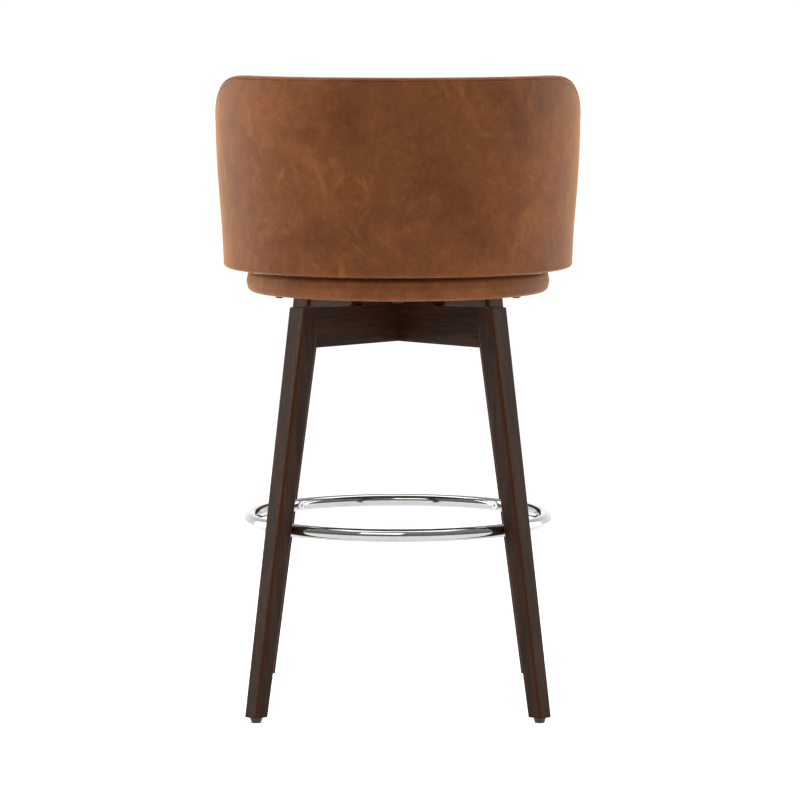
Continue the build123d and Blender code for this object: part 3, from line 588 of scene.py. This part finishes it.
def back_inner_cover():
    """The inner leather cover, over the rim and round to the seam."""
    seam = seam_q()
    edge_zone = thickness(LOOP) - OUTER_ROUND - INNER_ROUND + INNER_ROUND * pi / 2
    end = edge_zone + REACH - INNER_ROUND
    first = seam + INNER_FOLD
    rows = []
    # The hidden side, a little inside the visible one
    for share in (1.0, 0.8, 0.5, 0.2, 0.04):
        flat, depth = section_row(seam + (end - seam) * share)
        rows.append(place(flat, np.maximum(depth - COVER_DEPTH, OUTER_ROUND + 0.002)))
    rows.append(fold_in(seam, 0.006))
    for turn in np.linspace(pi / 2, 0, 6):
        rows.append(fold_in(seam + INNER_FOLD * (1 - sin(turn)), INNER_FOLD * (1 - cos(turn))))
    for share in np.linspace(0, 1, 26)[1:]:
        flat, depth = section_row(first + (edge_zone - first) * share)
        rows.append(rumple(place(flat, depth), 0.0003, 11.0))
    for share in np.linspace(0, 1, 30)[1:] ** 1.15:
        flat, depth = section_row(edge_zone + (end - edge_zone) * share)
        rows.append(rumple(place(flat, depth), 0.0008, 11.0))
    return mesh_object("back_inner_cover", np.vstack(rows), loop_grid(len(rows), len(REACH)), leather, WELD)


outer_cover = back_outer_cover()
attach(outer_cover, "seat")
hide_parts("back_outer_panel")

inner_cover = back_inner_cover()
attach(inner_cover, "seat")
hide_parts("back_inner_pad")


# --- Seat --------------------------------------------------------------------------------------

def turned_form(name, profile, columns, front_extra, centre, material):
    """A closed form of revolution, longer to the front by a share, from radii and heights."""
    points = []
    for radius, height in profile:
        for column in range(columns):
            angle = 2 * pi * column / columns
            x = radius * cos(angle)
            y = radius * sin(angle)
            if y < 0:
                y *= 1 + front_extra
            points.append((x + centre[0], y + centre[1], height))
    faces = loop_grid(len(profile), columns)
    return mesh_object(name, points, faces, material, WELD)


RIM_LOW_ROUND = 0.0115
RIM_HIGH_ROUND = 0.009
RIM_BULGE = 0.0012


def pad_profile():
    """The rim's section: a round lower edge, a gently bulging side and a softer top edge."""
    low = PAD_LOW[2]
    high = PAD_HIGH[2]
    side = PAD_HIGH[0] - RIM_BULGE
    board = BOARD_HIGH[0] + 0.0005
    on_board = BOARD_HIGH[2] + 0.001
    profile = [(board - 0.02, on_board), (board, BOARD_HIGH[2] + 0.0006), (board, low + 0.004),
               (board + 0.0008, low + 0.0012), (board + 0.002, low)]
    for turn in np.linspace(0, pi / 2, 12):
        profile.append((side - RIM_LOW_ROUND + RIM_LOW_ROUND * sin(turn),
                        low + RIM_LOW_ROUND - RIM_LOW_ROUND * cos(turn)))
    side_low = low + RIM_LOW_ROUND
    side_high = high - RIM_HIGH_ROUND
    for share in np.linspace(0, 1, 12)[1:-1]:
        bulge = RIM_BULGE * sin(pi * min(1, share * 1.15))
        profile.append((side + bulge, side_low + (side_high - side_low) * share))
    top = side - 0.0002 - RIM_HIGH_ROUND
    for turn in np.linspace(0, pi / 2, 12):
        profile.append((top + RIM_HIGH_ROUND * cos(turn), side_high + RIM_HIGH_ROUND * sin(turn)))
    profile.extend((top * share, high) for share in (0.97, 0.93, 0.85, 0.7, 0.5, 0.3, 0.12, 0.0001))
    profile.append((0.0001, on_board))
    profile.extend(((board - 0.02) * share, on_board) for share in (0.2, 0.5, 0.8))
    profile.append(profile[0])
    return profile


FRONT_EXTRA = -PAD_LOW[1] / PAD_HIGH[0] - 1
rim_pad = turned_form("seat_rim_cover", pad_profile(), 288, FRONT_EXTRA, (0, 0), leather)
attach(rim_pad, "seat")
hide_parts("seat_rim_pad")


CUSHION_RADIUS = (CUSHION_HIGH[0] - CUSHION_LOW[0]) / 2
CUSHION_CENTRE = ((CUSHION_LOW[0] + CUSHION_HIGH[0]) / 2, (CUSHION_LOW[1] + CUSHION_HIGH[1]) / 2)
CUSHION_CROWN = 0.009
CUSHION_EDGE = CUSHION_HIGH[2] - CUSHION_CROWN
CUSHION_ROUNDS = (0.007, 0.011)
CUSHION_INSET = 0.0025
SEAM_DEPTH = 0.0024
SEAM_WIDTH = 0.0030
# The two seams of its boxing, as radius and height: halfway round its upper and lower corner
CUSHION_SEAMS = ((CUSHION_RADIUS - CUSHION_INSET - 0.0032, CUSHION_EDGE - CUSHION_INSET - 0.0032),
                 (CUSHION_RADIUS - CUSHION_INSET - 0.0020, CUSHION_LOW[2] + 0.0020))


def cushion_profile(inset):
    """The seat cushion's section before it is filled, a little smaller all round by an inset."""
    low = CUSHION_LOW[2]
    radius = CUSHION_RADIUS - inset
    edge = CUSHION_EDGE - inset
    low_round, high_round = CUSHION_ROUNDS
    profile = [(radius * share, low) for share in (0.0004, 0.15, 0.3, 0.45, 0.6, 0.75, 0.88)]
    for turn in np.linspace(0, pi / 2, 8):
        profile.append((radius - low_round + low_round * sin(turn), low + low_round - low_round * cos(turn)))
    for turn in np.linspace(0, pi / 2, 8):
        profile.append((radius - high_round + high_round * cos(turn),
                        edge - high_round + high_round * sin(turn)))
    for share in (0.93, 0.86, 0.75, 0.6, 0.45, 0.3, 0.15, 0.0004):
        profile.append((radius * share, edge + CUSHION_CROWN * (1 - share ** 2)))
    profile.append(profile[0])
    return profile


def apply_modifier(thing, kind, **settings):
    """Adds a modifier with its settings and writes its result into the mesh."""
    modifier = thing.modifiers.new(kind.lower(), kind)
    for key, value in settings.items():
        setattr(modifier, key, value)
    result = bpy.data.meshes.new_from_object(thing.evaluated_get(bpy.context.evaluated_depsgraph_get()))
    thing.modifiers.clear()
    thing.data = result


def from_seams(points):
    """Each point's distance from the nearer seam of the cushion."""
    radius = np.hypot(points[:, 0] - CUSHION_CENTRE[0], points[:, 1] - CUSHION_CENTRE[1])
    return np.min([np.hypot(radius - across, points[:, 2] - up) for across, up in CUSHION_SEAMS], axis=0)


def filled(thing, pressure, reach):
    """Blows the cushion's cover up. Its base and its seams stay, and no point moves more than the reach."""
    mesh = thing.data
    start = np.array([vertex.co for vertex in mesh.vertices])
    at_base = start[:, 2] < CUSHION_LOW[2] + 0.003
    at_seam = from_seams(start) < 0.0034
    held = thing.vertex_groups.new(name="held")
    held.add([int(index) for index in np.nonzero(at_base | at_seam)[0]], 1.0, "REPLACE")
    cloth = thing.modifiers.new("cloth", "CLOTH")
    settings = cloth.settings
    settings.quality = 5
    settings.use_pressure = True
    settings.uniform_pressure_force = pressure
    settings.vertex_group_mass = "held"
    settings.tension_stiffness = 25
    settings.compression_stiffness = 25
    settings.bending_stiffness = 1.5
    settings.effector_weights.gravity = 0
    for step in range(1, 21):
        scene.frame_set(step)
    posed = thing.evaluated_get(bpy.context.evaluated_depsgraph_get()).to_mesh()
    moved = np.array([vertex.co for vertex in posed.vertices]) - start
    thing.modifiers.clear()
    thing.vertex_groups.clear()
    scene.frame_set(1)
    length = np.maximum(np.linalg.norm(moved, axis=1), 1e-9)
    moved *= (np.minimum(length, reach) / length)[:, None]
    mesh.vertices.foreach_set("co", (start + moved).ravel())


def stitched(thing):
    """Presses the seams between the cushion's panels and its boxing into the cover."""
    mesh = thing.data
    points = np.array([vertex.co for vertex in mesh.vertices])
    normals = np.array([vertex.normal for vertex in mesh.vertices])
    points -= normals * (SEAM_DEPTH * np.exp(-(from_seams(points) / SEAM_WIDTH) ** 2))[:, None]
    mesh.vertices.foreach_set("co", points.ravel())


def seat_cushion_cover():
    """The cushion: turned to shape, filled by a cloth simulation, then stitched."""
    cover = turned_form("seat_cushion_cover", cushion_profile(CUSHION_INSET), 240, 0, CUSHION_CENTRE, leather)
    apply_modifier(cover, "REMESH", mode="VOXEL", voxel_size=0.005)
    filled(cover, 4.0, 0.006)
    apply_modifier(cover, "SUBSURF", levels=1, render_levels=1)
    stitched(cover)
    cover.data.shade_smooth()
    return cover


cushion = seat_cushion_cover()
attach(cushion, "seat")
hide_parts("seat_cushion")


# --- Stage, light and camera -------------------------------------------------------------------

def stage_floor():
    """A large pale floor that gives off some light, so that it comes out as white as the backdrop."""
    m = Nodes(bpy.data.materials.new("studio_floor"))
    cloud = m.noise(m.coordinates(), 3.0, 3.0, 0.5)
    tone = m.ramp(cloud, [(0.3, 0.60), (0.7, 0.62)])
    pale = m.set(Base_Color=tone, Roughness=0.9, Specular_IOR_Level=0.0, Emission_Color=(1.0, 1.0, 1.0),
                 Emission_Strength=0.76)
    size = 160
    corners = [(-size, -size, 0), (size, -size, 0), (size, size, 0), (-size, size, 0)]
    floor = mesh_object("studio_floor", corners, [(0, 1, 2, 3)], pale)


def studio_world():
    """A white backdrop for the camera. As light and in reflections it is bright behind the stool only."""
    world = bpy.data.worlds.new("studio_world")
    scene.world = world
    m = Nodes(world)
    source = m.add("ShaderNodeTexCoord")
    split = m.add("ShaderNodeSeparateXYZ")
    m.link(source.outputs["Generated"], split.inputs[0])
    toward_front = m.add("ShaderNodeMapRange", {"From Min": 0.35, "From Max": -0.9})
    m.link(split.outputs[1], toward_front.inputs[0])
    tone = m.ramp(toward_front.outputs[0], [(0.0, 0.21), (1.0, 1.25)], True)
    upward = m.add("ShaderNodeMapRange", {"From Min": 0.15, "From Max": 0.80})
    m.link(split.outputs[2], upward.inputs[0])
    tone = m.mix(upward.outputs[0], tone, (0.42, 0.42, 0.42))
    rays = m.add("ShaderNodeLightPath")
    tone = m.mix(rays.outputs["Is Camera Ray"], tone, (1.0, 1.0, 1.0))
    m.link(tone, m.tree.nodes["Background"].inputs["Color"])


def soft_light(name, location, target, size, power, colour=(1, 1, 1)):
    """A rectangular softbox that looks at a point."""
    data = bpy.data.lights.new(name, "AREA")
    data.shape = "RECTANGLE"
    data.size, data.size_y = size
    data.energy = power
    data.color = colour
    lamp = bpy.data.objects.new(name, data)
    lamp.location = location
    lamp.rotation_euler = (Vector(target) - Vector(location)).to_track_quat("-Z", "Y").to_euler()
    scene.collection.objects.link(lamp)


def camera():
    """A long lens behind the stool, a little above its back and looking slightly down."""
    downward = 5.509
    data = bpy.data.cameras.new("camera")
    data.sensor_width = 36
    data.lens = 207.36
    data.clip_end = 100
    eye = bpy.data.objects.new("camera", data)
    eye.location = (-0.0034, 7.7875, 1.2655)
    eye.rotation_euler = (radians(90 - downward), 0, pi)
    scene.collection.objects.link(eye)
    scene.camera = eye


stage_floor()
studio_world()
soft_light("left_box", (2.3, -0.7, 1.25), (0, 0, 0.8), (2.2, 2.3), 66)
soft_light("right_box", (-2.3, -0.7, 1.25), (0, 0, 0.8), (2.2, 2.3), 48)
soft_light("key_box", (0.8, 3.4, 3.0), (0, 0, 0.7), (2.2, 1.6), 32)
soft_light("top_box", (0, -0.2, 3.0), (0, 0, 0.6), (2.8, 2.4), 54)
camera()
scene.view_settings.view_transform = "Standard"
scene.view_settings.look = "None"
